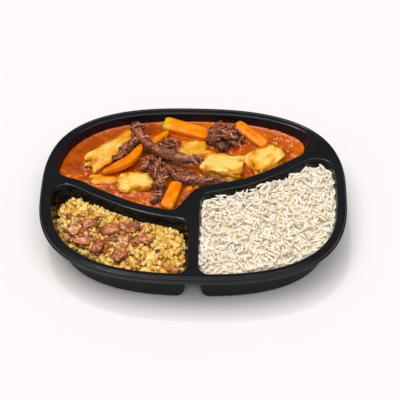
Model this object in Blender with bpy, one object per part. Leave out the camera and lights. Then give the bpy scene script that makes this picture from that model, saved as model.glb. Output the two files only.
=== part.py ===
"""A ready meal in an oval black tray with three compartments: rib stew at the back, toasted
cassava crumbs with bacon at the front left, and white rice at the front right.

Units are metres, +Z up. The origin is on the table, under the middle of the tray, with the
tray's length along X and the stew's compartment towards +Y. Heights of the food are given from
the top face of the tray's flange, so most of them are negative.
"""

import math
import random

import bmesh
import bpy
import numpy as np
from mathutils import Matrix, Vector, noise

MM = 0.001

# The tray's outline, a superellipse, at the outer edge of the flange's top face.
TRAY_HALF_LENGTH = 126.0 * MM
TRAY_HALF_WIDTH = 92.3 * MM
END_FULLNESS = 2.55
SIDE_FULLNESS = 2.88
TRAY_HEIGHT = 39.0 * MM
WALL = 0.8 * MM

# The rim's outer side, from the flange down to the lip: how far out and how far down.
RIM_PROFILE = [
    (-1.2 * MM, 0.0),
    (-0.3 * MM, 0.4 * MM),
    (0.0, 1.3 * MM),
    (0.2 * MM, 2.9 * MM),
    (1.0 * MM, 3.1 * MM),
    (1.1 * MM, 4.5 * MM),
    (0.3 * MM, 4.5 * MM),
    (0.1 * MM, 3.8 * MM),
    (-0.7 * MM, 3.5 * MM),
    (-1.0 * MM, WALL),
]

# The compartments: rounded shapes cut out of the oval by one curved divider and one post.
FLANGE_WIDTH = 5.3 * MM
LEFT_FLANGE_GAIN = 2.4 * MM
DIVIDER_HALF_WIDTH = 2.7 * MM
POST_X = 1.6 * MM
POST_HALF_WIDTH = 2.5 * MM
RIM_CORNER = 16.0 * MM
STEW_RIGHT_CORNER = 31.0 * MM
RICE_RIGHT_CORNER = 20.0 * MM
POST_FRONT_CORNER = 11.0 * MM
CRUMBS_BACK_CORNER = 20.0 * MM
RICE_BACK_CORNER = 7.0 * MM
POST_MIDDLE_Y = -50.0 * MM
DIVIDER_BENDS = [
    (-134.0, 2.0),
    (-118.0, 7.5),
    (-100.0, 5.5),
    (-78.0, -5.5),
    (-51.0, -17.5),
    (-27.0, -24.0),
    (-13.0, -24.0),
    (-4.5, -14.0),
    (5.0, -1.5),
    (22.0, 4.0),
    (47.0, 11.5),
    (72.0, 24.5),
    (95.0, 39.0),
    (116.0, 46.0),
    (134.0, 48.0),
]
EDGE_FILLET = 2.0 * MM
FLOOR_FILLET = 5.0 * MM
DRAFT = math.radians(5.5)
END_DRAFT_GAIN = 1.0
STEW_END_SLOPE = 2.2
RIM_POINTS = 54
POD_POINTS = 38
CORNER_SHARE = 0.45

# Food.
GAP = 0.3 * MM
WALL_GAP = 0.5 * MM
SAUCE_LEVEL = -9.5 * MM
HEAP_RINGS = 5
RING_CROWDING = 0.75


def superellipse(count):
    """Points round the tray's outline, anticlockwise from +X, spaced evenly."""
    angle = np.linspace(0, 2 * math.pi, 2880, endpoint=False)
    cos, sin = np.cos(angle), np.sin(angle)
    x = TRAY_HALF_LENGTH * np.sign(cos) * np.abs(cos) ** (2 / END_FULLNESS)
    y = TRAY_HALF_WIDTH * np.sign(sin) * np.abs(sin) ** (2 / SIDE_FULLNESS)
    return spaced(np.stack([x, y], 1), count)


def spaced(ring, count, turning=0.0):
    """The closed ring's points, moved to stand evenly along it, or closer where it turns.

    turning is the share of the points that go where the ring turns rather than where it is long."""
    closed = np.vstack([ring, ring[:1]])
    run = np.diff(closed, axis=0)
    length = np.linalg.norm(run, axis=1)
    heading = np.arctan2(run[:, 1], run[:, 0])
    turn = np.abs((heading - np.roll(heading, 1) + math.pi) % (2 * math.pi) - math.pi)
    turn = (turn + np.roll(turn, -1)) / 2
    weight = (1 - turning) * length / length.sum() + turning * turn / turn.sum()
    along = np.concatenate([[0], np.cumsum(weight)])
    at = np.linspace(0, along[-1], count, endpoint=False)
    return np.stack([np.interp(at, along, closed[:, k]) for k in (0, 1)], 1)


def offset(ring, distance):
    """The ring moved outward by the distance, along its normals."""
    along = np.roll(ring, -1, 0) - np.roll(ring, 1, 0)
    along /= np.linalg.norm(along, axis=1, keepdims=True)
    return ring + distance * np.stack([along[:, 1], -along[:, 0]], 1)


def smooth_line(bends, steps):
    """A Catmull-Rom curve through the bends."""
    points = [np.array(bend, float) for bend in bends]
    points = [2 * points[0] - points[1], *points, 2 * points[-1] - points[-2]]
    line = []
    for a, b, c, d in zip(points, points[1:], points[2:], points[3:]):
        for t in np.arange(steps) / steps:
            line.append(
                b
                + 0.5 * t * (c - a)
                + t * t * (a - 2.5 * b + 2 * c - 0.5 * d)
                + t**3 * 0.5 * (3 * b - 3 * c + d - a)
            )
    line.append(points[-2])
    return np.array(line)


def signed_distance(points, line):
    """How far each point is from the line, positive on the line's left."""
    start, run = line[:-1], np.diff(line, axis=0)
    to_point = points[:, None] - start[None]
    share = np.clip((to_point * run).sum(-1) / (run * run).sum(-1), 0, 1)
    distance = np.linalg.norm(to_point - share[..., None] * run, axis=-1)
    near = distance.argmin(1)
    rows = np.arange(len(points))
    side = run[near, 0] * to_point[rows, near, 1] - run[near, 1] * to_point[rows, near, 0]
    return np.sign(side) * distance[rows, near]


OUTLINE = superellipse(360)
OUTLINE_LOOP = np.vstack([OUTLINE, OUTLINE[:1]])
DIVIDER = smooth_line(np.array(DIVIDER_BENDS) * MM, 14)


def rounded(first, second, radius):
    """The room left between two walls, with the corner where they meet rounded."""
    over_first = np.maximum(radius - first, 0)
    over_second = np.maximum(radius - second, 0)
    room = np.maximum(radius, np.minimum(first, second))
    return room - np.hypot(over_first, over_second)


def rim_room(points):
    """The room inside the flange, which is wider at the tray's left end."""
    leftward = np.maximum(-points[:, 0] / TRAY_HALF_LENGTH, 0)
    flange = FLANGE_WIDTH + LEFT_FLANGE_GAIN * leftward**4
    return signed_distance(points, OUTLINE_LOOP) - flange


def corner_radius(points, right_radius):
    """The radius of the corners at the rim, which grows towards the tray's right end."""
    rightward = np.clip(points[:, 0] / TRAY_HALF_LENGTH, 0, 1)
    return RIM_CORNER + (right_radius - RIM_CORNER) * rightward


def stew_room(points):
    divider = signed_distance(points, DIVIDER) - DIVIDER_HALF_WIDTH
    return rounded(rim_room(points), divider, corner_radius(points, STEW_RIGHT_CORNER))


def front_room(points, side, back_corner):
    """The room in a front compartment: side is -1 left of the post and 1 right of it."""
    divider = -signed_distance(points, DIVIDER) - DIVIDER_HALF_WIDTH
    post = side * (points[:, 0] - POST_X) - POST_HALF_WIDTH
    room = rounded(rim_room(points), divider, corner_radius(points, RICE_RIGHT_CORNER))
    post_corner = np.where(points[:, 1] > POST_MIDDLE_Y, back_corner, POST_FRONT_CORNER)
    return rounded(room, post, post_corner)


def crumbs_room(points):
    return front_room(points, -1, CRUMBS_BACK_CORNER)


def rice_room(points):
    return front_room(points, 1, RICE_BACK_CORNER)


def wall_inset(x, depth, end_slope=0.0):
    """How far a compartment's wall has moved in at this depth, fillet and draft together."""
    slope = math.tan(DRAFT) * (1 + END_DRAFT_GAIN * (x / TRAY_HALF_LENGTH) ** 2)
    slope = slope + end_slope * np.maximum(x / TRAY_HALF_LENGTH, 0) ** 6
    return EDGE_FILLET + (depth - EDGE_FILLET) * slope


class Pod:
    """One compartment, whose walls are found along rays from a centre."""

    def __init__(self, room, centre, end_slope=0.0):
        self.room = room
        self.end_slope = end_slope
        self.centre = np.array(centre) * MM
        even = np.linspace(-math.pi, math.pi, 720, endpoint=False)
        edge = spaced(self.cast(even, lambda x: 0 * x), POD_POINTS, CORNER_SHARE)
        out = edge - self.centre
        self.angles = np.arctan2(out[:, 1], out[:, 0])

    def cast(self, angles, inset):
        """Where the rays reach the wall, moved in by inset(x)."""
        way = np.stack([np.cos(angles), np.sin(angles)], 1)
        low = np.zeros(len(angles))
        high = np.full(len(angles), 2 * TRAY_HALF_LENGTH)
        for _ in range(34):
            middle = (low + high) / 2
            points = self.centre + middle[:, None] * way
            inside = self.room(points) > inset(points[:, 0])
            low = np.where(inside, middle, low)
            high = np.where(inside, high, middle)
        return self.centre + low[:, None] * way

    def edge(self):
        return self.cast(self.angles, lambda x: 0 * x)

    def wall(self, depth, inward):
        """The wall's ring at a depth, moved in by inward."""
        return self.cast(self.angles, lambda x: wall_inset(x, depth, self.end_slope) + inward)

    def wall_at(self, depths, inward):
        """The ring along the straight wall whose depth differs from ray to ray."""
        upper = self.wall(EDGE_FILLET, inward)
        lower = self.wall(STRAIGHT_END, inward)
        share = (depths - EDGE_FILLET) / (STRAIGHT_END - EDGE_FILLET)
        return upper + share[:, None] * (lower - upper)


FLOOR_DEPTH = TRAY_HEIGHT - WALL
STRAIGHT_END = FLOOR_DEPTH - FLOOR_FILLET
STEW_POD = Pod(stew_room, (-20, 35), STEW_END_SLOPE)
CRUMBS_POD = Pod(crumbs_room, (-55, -50))
RICE_POD = Pod(rice_room, (60, -35))


def raised(ring, z):
    """The plan ring at a height, one number or one for each point, above the flange's top."""
    heights = np.broadcast_to(z, len(ring))
    return [(x, y, TRAY_HEIGHT + h) for (x, y), h in zip(ring, heights)]


def add_ring(mesh, ring, z):
    return [mesh.verts.new(point) for point in raised(ring, z)]


def bridge(mesh, first, second):
    """Faces between two rings of as many points, facing out when first is above and inside."""
    count = len(first)
    for k in range(count):
        after = (k + 1) % count
        mesh.faces.new((first[k], second[k], second[after], first[after]))


def plane_between(mesh, outer, inners):
    """Flat faces between one outer ring and the rings inside it."""
    edges = []
    for ring in [outer, *inners]:
        for k, vert in enumerate(ring):
            pair = (vert, ring[(k + 1) % len(ring)])
            edges.append(mesh.edges.get(pair) or mesh.edges.new(pair))
    bmesh.ops.triangle_fill(mesh, use_beauty=True, edges=edges, normal=(0, 0, 1))


def pod_skin(mesh, pod, thickness):
    """A compartment's fillet, wall, lower fillet and floor: the inner skin at thickness 0."""
    rings = [add_ring(mesh, pod.edge(), -thickness)]
    fillet = EDGE_FILLET - thickness
    for turn in (45, 90):
        angle = math.radians(turn)
        inset = fillet * math.sin(angle)
        ring = pod.cast(pod.angles, lambda x, inset=inset: 0 * x + inset)
        rings.append(add_ring(mesh, ring, -EDGE_FILLET + fillet * math.cos(angle)))
    radius = FLOOR_FILLET + thickness
    for turn in (0, 45, 90):
        angle = math.radians(turn)
        inward = radius * (1 - math.cos(angle)) - thickness
        ring = pod.wall(STRAIGHT_END, inward)
        rings.append(add_ring(mesh, ring, -STRAIGHT_END - radius * math.sin(angle)))
    for upper, lower in zip(rings, rings[1:]):
        bridge(mesh, lower, upper)
    mesh.faces.new(rings[-1])
    return rings[0]


def material(name, colour, roughness):
    made = bpy.data.materials.new(name)
    made.use_nodes = True
    shader = made.node_tree.nodes["Principled BSDF"]
    shader.inputs["Base Color"].default_value = (*colour, 1)
    shader.inputs["Roughness"].default_value = roughness
    shader.inputs["Metallic"].default_value = 0.0
    return made


def object_from(mesh, name, look):
    """An object of the bmesh, with its faces turned outward and shaded smooth."""
    bmesh.ops.triangulate(mesh, faces=mesh.faces)
    bmesh.ops.recalc_face_normals(mesh, faces=mesh.faces)
    data = bpy.data.meshes.new(name)
    mesh.to_mesh(data)
    mesh.free()
    data.shade_smooth()
    data.set_sharp_from_angle(angle=math.radians(50))
    made = bpy.data.objects.new(name, data)
    made.data.materials.append(look)
    bpy.context.scene.collection.objects.link(made)
    return made


def tray():
    """The thermoformed shell: a flange with a stepped rim, and three pods hanging from it."""
    mesh = bmesh.new()
    outline = superellipse(RIM_POINTS)
    rim = [add_ring(mesh, offset(outline, out), -down) for out, down in RIM_PROFILE]
    for upper, lower in zip(rim, rim[1:]):
        bridge(mesh, upper, lower)
    pods = [STEW_POD, CRUMBS_POD, RICE_POD]
    inner = [pod_skin(mesh, pod, 0.0) for pod in pods]
    outer = [pod_skin(mesh, pod, WALL) for pod in pods]
    plane_between(mesh, rim[0], inner)
    plane_between(mesh, rim[-1], outer)
    return object_from(mesh, "tray", material("tray_plastic", (0.012, 0.012, 0.013), 0.3))


def heap_mesh(pod, edge_height, peak, steepness, seed, roughness):
    """Food that fills a pod: its top runs from edge_height(angle) at the wall up to the peak."""
    mesh = bmesh.new()
    heights = np.array([edge_height(angle) for angle in pod.angles])
    wall = pod.wall_at(-heights, WALL_GAP)
    top = mesh.verts.new((*pod.centre, TRAY_HEIGHT + peak))
    rings = []
    for step in range(1, HEAP_RINGS + 1):
        share = (step / HEAP_RINGS) ** RING_CROWDING
        ring = pod.centre + share * (wall - pod.centre)
        level = peak + (heights - peak) * share**steepness
        lumps = [noise.noise(Vector((x, y, seed)) / (14 * MM)) for x, y in ring]
        level = level + roughness * np.array(lumps) * (1 - share**4)
        rings.append(add_ring(mesh, ring, level))
    for k in range(len(wall)):
        mesh.faces.new((top, rings[0][k], rings[0][(k + 1) % len(wall)]))
    close_below(mesh, pod, rings)
    return mesh


def close_below(mesh, pod, rings):
    """The sides and the underside of what fills a pod, from the last of its rings down."""
    rings.append(add_ring(mesh, pod.wall(STRAIGHT_END, WALL_GAP), -STRAIGHT_END))
    floor = pod.wall(STRAIGHT_END, FLOOR_FILLET)
    rings.append(add_ring(mesh, floor, GAP - FLOOR_DEPTH))
    for upper, lower in zip(rings, rings[1:]):
        bridge(mesh, upper, lower)
    mesh.faces.new(rings[-1])


def rice():
    def edge_height(angle):
        return (-5.6 + 1.2 * math.cos(angle) - 3.0 * math.sin(angle)) * MM

    mesh = heap_mesh(RICE_POD, edge_height, 1.5 * MM, 3, 0.3, 2.4 * MM)
    return object_from(mesh, "rice", material("cooked_rice", (0.87, 0.8, 0.68), 0.55))


def crumbs():
    def edge_height(angle):
        sideways = -1.0 * math.cos(angle) - 3.2 * math.cos(2 * angle)
        return (-11.8 + sideways - 4.5 * math.sin(angle)) * MM

    mesh = heap_mesh(CRUMBS_POD, edge_height, 0.5 * MM, 5, 0.7, 3.2 * MM)
    return object_from(mesh, "crumbs", material("toasted_crumbs", (0.72, 0.5, 0.16), 0.75))


def sauce():
    mesh = bmesh.new()
    depths = np.full(POD_POINTS, -SAUCE_LEVEL)
    surface = add_ring(mesh, STEW_POD.wall_at(depths, WALL_GAP), SAUCE_LEVEL)
    mesh.faces.new(surface)
    close_below(mesh, STEW_POD, [surface])
    return object_from(mesh, "sauce", material("tomato_sauce", (0.5, 0.1, 0.01), 0.15))


def lump(name, look, at, size, turn, squareness=3.5, taper=0.0, uneven=0.05, seed=1, cuts=2):
    """A cut or torn piece: a rounded block, tapered along its length, then roughened.

    at is the middle of its upper side and turn its yaw, pitch and roll in degrees. Sizes are in
    millimetres, and uneven is a share of the size."""
    mesh = bmesh.new()
    bmesh.ops.create_cube(mesh, size=2.0)
    bmesh.ops.subdivide_edges(mesh, edges=mesh.edges, cuts=cuts, use_grid_fill=True)
    half = Vector(size) * MM / 2
    drift = Vector((seed * 3.7, seed * 1.3, seed * 2.1))
    for vert in mesh.verts:
        unit = vert.co.copy()
        reach = sum(abs(part) ** squareness for part in unit) ** (1 / squareness)
        unit /= reach
        unit *= 1 + uneven * 4 * noise.noise(unit * 1.3 + drift)
        width = 1 - taper * unit.x
        vert.co = Vector((unit.x * half.x, unit.y * half.y * width, unit.z * half.z))
    made = object_from(mesh, name, look)
    yaw, pitch, roll = (math.radians(value) for value in turn)
    spin = Matrix.Rotation(yaw, 4, "Z") @ Matrix.Rotation(pitch, 4, "Y")
    spin = spin @ Matrix.Rotation(roll, 4, "X")
    x, y, top = (value * MM for value in at)
    made.matrix_world = Matrix.Translation((x, y, TRAY_HEIGHT + top - half.z)) @ spin
    return made


def strip(name, look, route, sides=7, uneven=0.18, seed=1, flatness=0.75):
    """A long piece: rings along a smooth route of (x, y, z, radius) stations in millimetres."""
    line = smooth_line(route, 2) * MM
    mesh = bmesh.new()
    rings = []
    ends = []
    for k, (x, y, z, radius) in enumerate(line):
        before, after = line[max(k - 1, 0)], line[min(k + 1, len(line) - 1)]
        along = Vector(after[:3] - before[:3]).normalized()
        across = along.cross(Vector((0, 0, 1))).normalized()
        up = across.cross(along)
        middle = Vector((x, y, TRAY_HEIGHT + z))
        if k in (0, len(line) - 1):
            past = along * radius * (0.5 if k else -0.5)
            ends.append(mesh.verts.new(middle + past))
        ring = []
        for step in range(sides):
            angle = 2 * math.pi * step / sides
            way = across * math.cos(angle) + up * math.sin(angle) * flatness
            grain = noise.noise(Vector((k * 0.6, step * 1.7, seed * 5.3)))
            ring.append(mesh.verts.new(middle + way * radius * (1 + uneven * 2 * grain)))
        rings.append(ring)
    for first, second in zip(rings, rings[1:]):
        bridge(mesh, first, second)
    for end, ring in zip(ends, (rings[0], rings[-1])):
        for k in range(sides):
            mesh.faces.new((end, ring[k], ring[(k + 1) % sides]))
    return object_from(mesh, name, look)


def potatoes():
    look = material("boiled_potato", (0.75, 0.52, 0.17), 0.4)
    return {
        "potato_long": lump(
            "potato_long", look, (-71, 50, -4.5), (55, 18, 17), (47, 3, 12), 4, 0.08, seed=2
        ),
        "potato_front": lump(
            "potato_front", look, (-49, 13, -5), (31, 21, 17), (4, 0, -8), 4, 0.1, seed=3
        ),
        "potato_middle": lump(
            "potato_middle", look, (24, 30, -1), (35, 26, 16), (-8, 3, -14), 4.5, 0.05, seed=4
        ),
        "potato_back": lump(
            "potato_back", look, (-2, 49, -3.5), (25, 24, 17), (3, 0, -12), 4, 0.0, seed=5
        ),
        "potato_right": lump(
            "potato_right", look, (61, 42, -3), (34, 26, 17), (38, -4, -6), 3.2, 0.12, seed=6
        ),
        "potato_flat": lump(
            "potato_flat", look, (-73, 16, -7.5), (28, 11, 8), (-4, 2, 0), 3, 0.1, seed=7
        ),
    }


def carrots():
    look = material("cooked_carrot", (0.85, 0.27, 0.01), 0.35)
    return {
        "carrot_back": lump(
            "carrot_back", look, (-7, 72, -2), (41, 13, 12), (-15, 5, 6), 5, 0.06, seed=8
        ),
        "carrot_right": lump(
            "carrot_right", look, (48.5, 66.5, -2.5), (34, 10, 9), (-42, 4, 8), 5, 0.05, seed=9
        ),
        "carrot_front": lump(
            "carrot_front", look, (-18, -2, -2.5), (28, 11, 10), (72, -4, 4), 5, 0.06, seed=10
        ),
        "carrot_sliver": lump(
            "carrot_sliver", look, (-31, 62, -3.5), (21, 6, 6), (44, 0, 10), 3, 0.1, seed=11
        ),
        "carrot_chip": lump(
            "carrot_chip", look, (-1, 9, -6.5), (12, 5, 5), (24, 0, 0), 3, 0.1, seed=12
        ),
        "carrot_slice": strip(
            "carrot_slice",
            look,
            [
                (-47, 51, -4, 2.6),
                (-49, 41, -3, 4.2),
                (-55, 31, -3, 4.6),
                (-65, 24, -4, 4.0),
                (-77, 20, -5.5, 2.2),
            ],
            uneven=0.03,
        ),
    }


def meats():
    look = material("braised_rib", (0.16, 0.05, 0.02), 0.5)
    long_route = [
        (-54, 75, -4, 5.6),
        (-50, 68, -3, 5.0),
        (-44, 56, -2, 3.8),
        (-36, 45, -1, 4.2),
        (-24, 37, 0.5, 4.6),
        (-8, 32, 1, 4.2),
        (8, 31, 1.5, 2.6),
    ]
    low_route = [
        (-18, 20, -5, 4.6),
        (-4, 15, -5, 4.4),
        (12, 12.5, -5.5, 3.8),
        (27, 14.5, -6.5, 2.4),
    ]
    front_route = [
        (-44, 32, -6, 5.5),
        (-34, 28, -5, 6.5),
        (-29, 15, -5.5, 5.4),
        (-29, 0, -7, 4.4),
        (-32, -9, -8, 3.4),
    ]
    side_route = [(-48, 62, -5, 2.6), (-56, 51, -4.5, 3.4), (-67, 36, -6.5, 3.0)]
    return {
        "meat_long": strip("meat_long", look, long_route, seed=2),
        "meat_low": strip("meat_low", look, low_route, seed=3),
        "meat_front": strip("meat_front", look, front_route, seed=4),
        "meat_side": strip("meat_side", look, side_route, seed=5),
        "meat_back": lump(
            "meat_back", look, (25, 66, -0.5), (36, 30, 17), (20, 0, 0), 2.6, 0.05, 0.1, 13
        ),
        "meat_middle": lump(
            "meat_middle", look, (-20, 51, -2), (18, 26, 15), (12, 0, 0), 2.6, 0.0, 0.1, 14
        ),
    }


# Each bacon piece: where it lies, its size and its turn, in millimetres and degrees.
BACON = [
    ((-83, -38, 2.5), (14, 9, 7), 20),
    ((-95, -45, 1.0), (10, 8, 6), -35),
    ((-65, -44, 3.5), (15, 10, 7), 10),
    ((-48, -41, 2.5), (12, 8, 6), 50),
    ((-38, -54, 3.0), (13, 8, 6), -25),
    ((-74, -61, 3.5), (13, 8, 6), 65),
    ((-88, -56, 2.0), (12, 7, 6), -10),
    ((-56, -69, 2.5), (12, 9, 6), 30),
    ((-54, -57, 4.0), (11, 7, 6), -60),
]


def bacon():
    look = material("fried_bacon", (0.3, 0.08, 0.03), 0.4)
    chance = random.Random(7)
    made = {}
    for number, (at, size, yaw) in enumerate(BACON, 1):
        turn = (yaw, chance.uniform(-12, 12), chance.uniform(-12, 12))
        name = f"bacon_{number}"
        made[name] = lump(name, look, at, size, turn, 3, 0.1, 0.08, 20 + number, cuts=1)
    return made


def swollen(piece):
    """A cutter of the piece's own shape, larger all round by the gap."""
    data = piece.data.copy()
    mesh = bmesh.new()
    mesh.from_mesh(data)
    mesh.normal_update()
    for vert in mesh.verts:
        vert.co += vert.normal * vert.calc_shell_factor() * GAP * 1.3
    mesh.to_mesh(data)
    mesh.free()
    cutter = bpy.data.objects.new(f"{piece.name}_cutter", data)
    cutter.matrix_world = piece.matrix_world.copy()
    cutter.hide_render = True
    cutter.display_type = "WIRE"
    bpy.context.scene.collection.objects.link(cutter)
    return cutter


def reach(piece):
    """The piece's lowest and highest corners."""
    corners = [piece.matrix_world @ Vector(corner) for corner in piece.bound_box]
    low = [min(corner[k] for corner in corners) for k in range(3)]
    high = [max(corner[k] for corner in corners) for k in range(3)]
    return low, high


def touch(first, second):
    first_low, first_high = reach(first)
    second_low, second_high = reach(second)
    return all(
        first_low[k] < second_high[k] + GAP and second_low[k] < first_high[k] + GAP
        for k in range(3)
    )


def cut(piece, cutter):
    boolean = piece.modifiers.new(f"cut_{cutter.name}", "BOOLEAN")
    boolean.operation = "DIFFERENCE"
    boolean.solver = "EXACT"
    boolean.object = cutter


def nest(pieces, filling):
    """Cuts each piece round those that lie on it, named first, and the filling round them all."""
    above = []
    for piece in pieces:
        for cutter in above:
            if touch(piece, cutter):
                cut(piece, cutter)
        above.append(swollen(piece))
    for cutter in above:
        cut(filling, cutter)


def remove_everything():
    for old in list(bpy.data.objects):
        bpy.data.objects.remove(old)


def main():
    remove_everything()
    tray()
    rice()
    food = {**potatoes(), **carrots(), **meats()}
    top_first = [
        "meat_long",
        "carrot_slice",
        "carrot_back",
        "carrot_right",
        "carrot_front",
        "potato_middle",
        "potato_right",
        "potato_long",
        "potato_front",
        "potato_back",
        "carrot_sliver",
        "carrot_chip",
        "potato_flat",
        "meat_side",
        "meat_back",
        "meat_middle",
        "meat_low",
        "meat_front",
    ]
    bpy.context.view_layer.update()
    nest([food[name] for name in top_first], sauce())
    pieces = bacon()
    bpy.context.view_layer.update()
    nest(list(pieces.values()), crumbs())


main()
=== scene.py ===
"""The looks of the ready meal: a moulded tray, stew with shredded rib, rice grains and crumbs."""

import math
import random

import bmesh
import bpy
import numpy as np
from mathutils import Matrix, Vector, noise
from mathutils.bvhtree import BVHTree


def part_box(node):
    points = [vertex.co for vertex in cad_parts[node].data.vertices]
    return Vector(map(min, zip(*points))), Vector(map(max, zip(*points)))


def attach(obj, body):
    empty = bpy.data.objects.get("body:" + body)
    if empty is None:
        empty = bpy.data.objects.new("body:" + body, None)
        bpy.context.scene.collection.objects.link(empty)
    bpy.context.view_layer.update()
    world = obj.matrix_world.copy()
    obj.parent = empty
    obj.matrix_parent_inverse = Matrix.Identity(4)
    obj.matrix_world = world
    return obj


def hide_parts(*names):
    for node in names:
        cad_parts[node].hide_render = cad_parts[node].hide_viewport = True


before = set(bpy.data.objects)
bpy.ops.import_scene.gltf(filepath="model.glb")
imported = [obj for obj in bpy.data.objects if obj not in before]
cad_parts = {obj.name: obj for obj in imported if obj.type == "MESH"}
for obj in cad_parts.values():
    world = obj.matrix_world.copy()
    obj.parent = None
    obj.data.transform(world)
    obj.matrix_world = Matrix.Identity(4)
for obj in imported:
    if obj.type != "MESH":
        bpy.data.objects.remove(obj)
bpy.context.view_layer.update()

MM = 0.001

# The rim's outer side, from the flange's flat down to the lip: how far out and how far down.
RIM_PROFILE = [
    (-3.4, 0.0),
    (-3.1, 0.0),
    (-2.9, 0.12),
    (-2.6, 0.45),
    (-2.3, 0.5),
    (-2.0, 0.4),
    (-1.75, 0.12),
    (-1.5, 0.0),
    (-1.1, 0.0),
    (-0.7, 0.1),
    (-0.3, 0.35),
    (-0.08, 0.75),
    (0.0, 1.3),
    (0.15, 2.8),
    (0.25, 3.0),
    (0.8, 3.1),
    (1.0, 3.25),
    (1.1, 3.5),
    (1.1, 4.3),
    (1.0, 4.5),
    (0.5, 4.5),
    (0.35, 4.3),
    (0.1, 3.8),
    (-0.7, 3.5),
    (-0.8, 2.9),
    (-1.0, 1.1),
    (-1.3, 0.8),
    (-1.8, 0.8),
]
LIP_OUT = 1.1 * MM
END_FULLNESS = 2.55
SIDE_FULLNESS = 2.88
WALL = 0.8 * MM
FLANGE_WIDTH = 5.3 * MM
LEFT_FLANGE_GAIN = 2.4 * MM
DIVIDER_HALF_WIDTH = 2.7 * MM
POST_X = 1.6 * MM
POST_HALF_WIDTH = 2.5 * MM
RIM_CORNER = 16.0 * MM
STEW_RIGHT_CORNER = 31.0 * MM
RICE_RIGHT_CORNER = 20.0 * MM
POST_FRONT_CORNER = 11.0 * MM
CRUMBS_BACK_CORNER = 20.0 * MM
RICE_BACK_CORNER = 7.0 * MM
POST_MIDDLE_Y = -50.0 * MM
DIVIDER_BENDS = [
    (-134.0, 2.0),
    (-118.0, 7.5),
    (-100.0, 5.5),
    (-78.0, -5.5),
    (-51.0, -17.5),
    (-27.0, -24.0),
    (-13.0, -24.0),
    (-4.5, -14.0),
    (5.0, -1.5),
    (22.0, 4.0),
    (47.0, 11.5),
    (72.0, 24.5),
    (95.0, 39.0),
    (116.0, 46.0),
    (134.0, 48.0),
]
EDGE_FILLET = 2.0 * MM
FLOOR_FILLET = 5.0 * MM
DRAFT = math.radians(5.5)
END_DRAFT_GAIN = 1.0
STEW_END_SLOPE = 2.2
SAUCE_DROP = 9.5 * MM

_, TRAY_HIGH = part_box("tray")
HALF_LENGTH = TRAY_HIGH.x - LIP_OUT
HALF_WIDTH = TRAY_HIGH.y - LIP_OUT
FLANGE_Z = TRAY_HIGH.z
SAUCE_Z = FLANGE_Z - SAUCE_DROP
FLOOR_DEPTH = FLANGE_Z - WALL
STRAIGHT_END = FLOOR_DEPTH - FLOOR_FILLET


# ---------------------------------------------------------------- plan shapes


def spaced(ring, count, turning=0.0):
    """The closed ring's points, moved to stand evenly along it, or closer where it turns."""
    closed = np.vstack([ring, ring[:1]])
    run = np.diff(closed, axis=0)
    length = np.linalg.norm(run, axis=1)
    heading = np.arctan2(run[:, 1], run[:, 0])
    turn = np.abs((heading - np.roll(heading, 1) + math.pi) % (2 * math.pi) - math.pi)
    turn = (turn + np.roll(turn, -1)) / 2
    weight = (1 - turning) * length / length.sum() + turning * turn / turn.sum()
    along = np.concatenate([[0], np.cumsum(weight)])
    at = np.linspace(0, along[-1], count, endpoint=False)
    return np.stack([np.interp(at, along, closed[:, k]) for k in (0, 1)], 1)


def superellipse(count):
    """Points round the tray's outline, anticlockwise from +X."""
    angle = np.linspace(0, 2 * math.pi, 2880, endpoint=False)
    cos, sin = np.cos(angle), np.sin(angle)
    x = HALF_LENGTH * np.sign(cos) * np.abs(cos) ** (2 / END_FULLNESS)
    y = HALF_WIDTH * np.sign(sin) * np.abs(sin) ** (2 / SIDE_FULLNESS)
    return spaced(np.stack([x, y], 1), count)


def offset(ring, distance):
    along = np.roll(ring, -1, 0) - np.roll(ring, 1, 0)
    along /= np.linalg.norm(along, axis=1, keepdims=True)
    return ring + distance * np.stack([along[:, 1], -along[:, 0]], 1)


def smooth_line(bends, steps):
    """A Catmull-Rom curve through the bends."""
    points = [np.array(bend, float) for bend in bends]
    points = [2 * points[0] - points[1], *points, 2 * points[-1] - points[-2]]
    line = []
    for a, b, c, d in zip(points, points[1:], points[2:], points[3:]):
        for t in np.arange(steps) / steps:
            line.append(
                b
                + 0.5 * t * (c - a)
                + t * t * (a - 2.5 * b + 2 * c - 0.5 * d)
                + t**3 * 0.5 * (3 * b - 3 * c + d - a)
            )
    line.append(points[-2])
    return np.array(line)


def signed_distance(points, line):
    """How far each point is from the line, positive on the line's left."""
    start, run = line[:-1], np.diff(line, axis=0)
    to_point = points[:, None] - start[None]
    share = np.clip((to_point * run).sum(-1) / (run * run).sum(-1), 0, 1)
    distance = np.linalg.norm(to_point - share[..., None] * run, axis=-1)
    near = distance.argmin(1)
    rows = np.arange(len(points))
    side = run[near, 0] * to_point[rows, near, 1] - run[near, 1] * to_point[rows, near, 0]
    return np.sign(side) * distance[rows, near]


OUTLINE = superellipse(240)
OUTLINE_LOOP = np.vstack([OUTLINE, OUTLINE[:1]])
DIVIDER = smooth_line(np.array(DIVIDER_BENDS) * MM, 8)


def rounded(first, second, radius):
    over_first = np.maximum(radius - first, 0)
    over_second = np.maximum(radius - second, 0)
    room = np.maximum(radius, np.minimum(first, second))
    return room - np.hypot(over_first, over_second)


def rim_room(points):
    """The room inside the flange, which is wider at the tray's left end."""
    leftward = np.maximum(-points[:, 0] / HALF_LENGTH, 0)
    flange = FLANGE_WIDTH + LEFT_FLANGE_GAIN * leftward**4
    return signed_distance(points, OUTLINE_LOOP) - flange


def corner_radius(points, right_radius):
    """The radius of the corners at the rim, which grows towards the tray's right end."""
    rightward = np.clip(points[:, 0] / HALF_LENGTH, 0, 1)
    return RIM_CORNER + (right_radius - RIM_CORNER) * rightward


def stew_room(points):
    divider = signed_distance(points, DIVIDER) - DIVIDER_HALF_WIDTH
    return rounded(rim_room(points), divider, corner_radius(points, STEW_RIGHT_CORNER))


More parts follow.
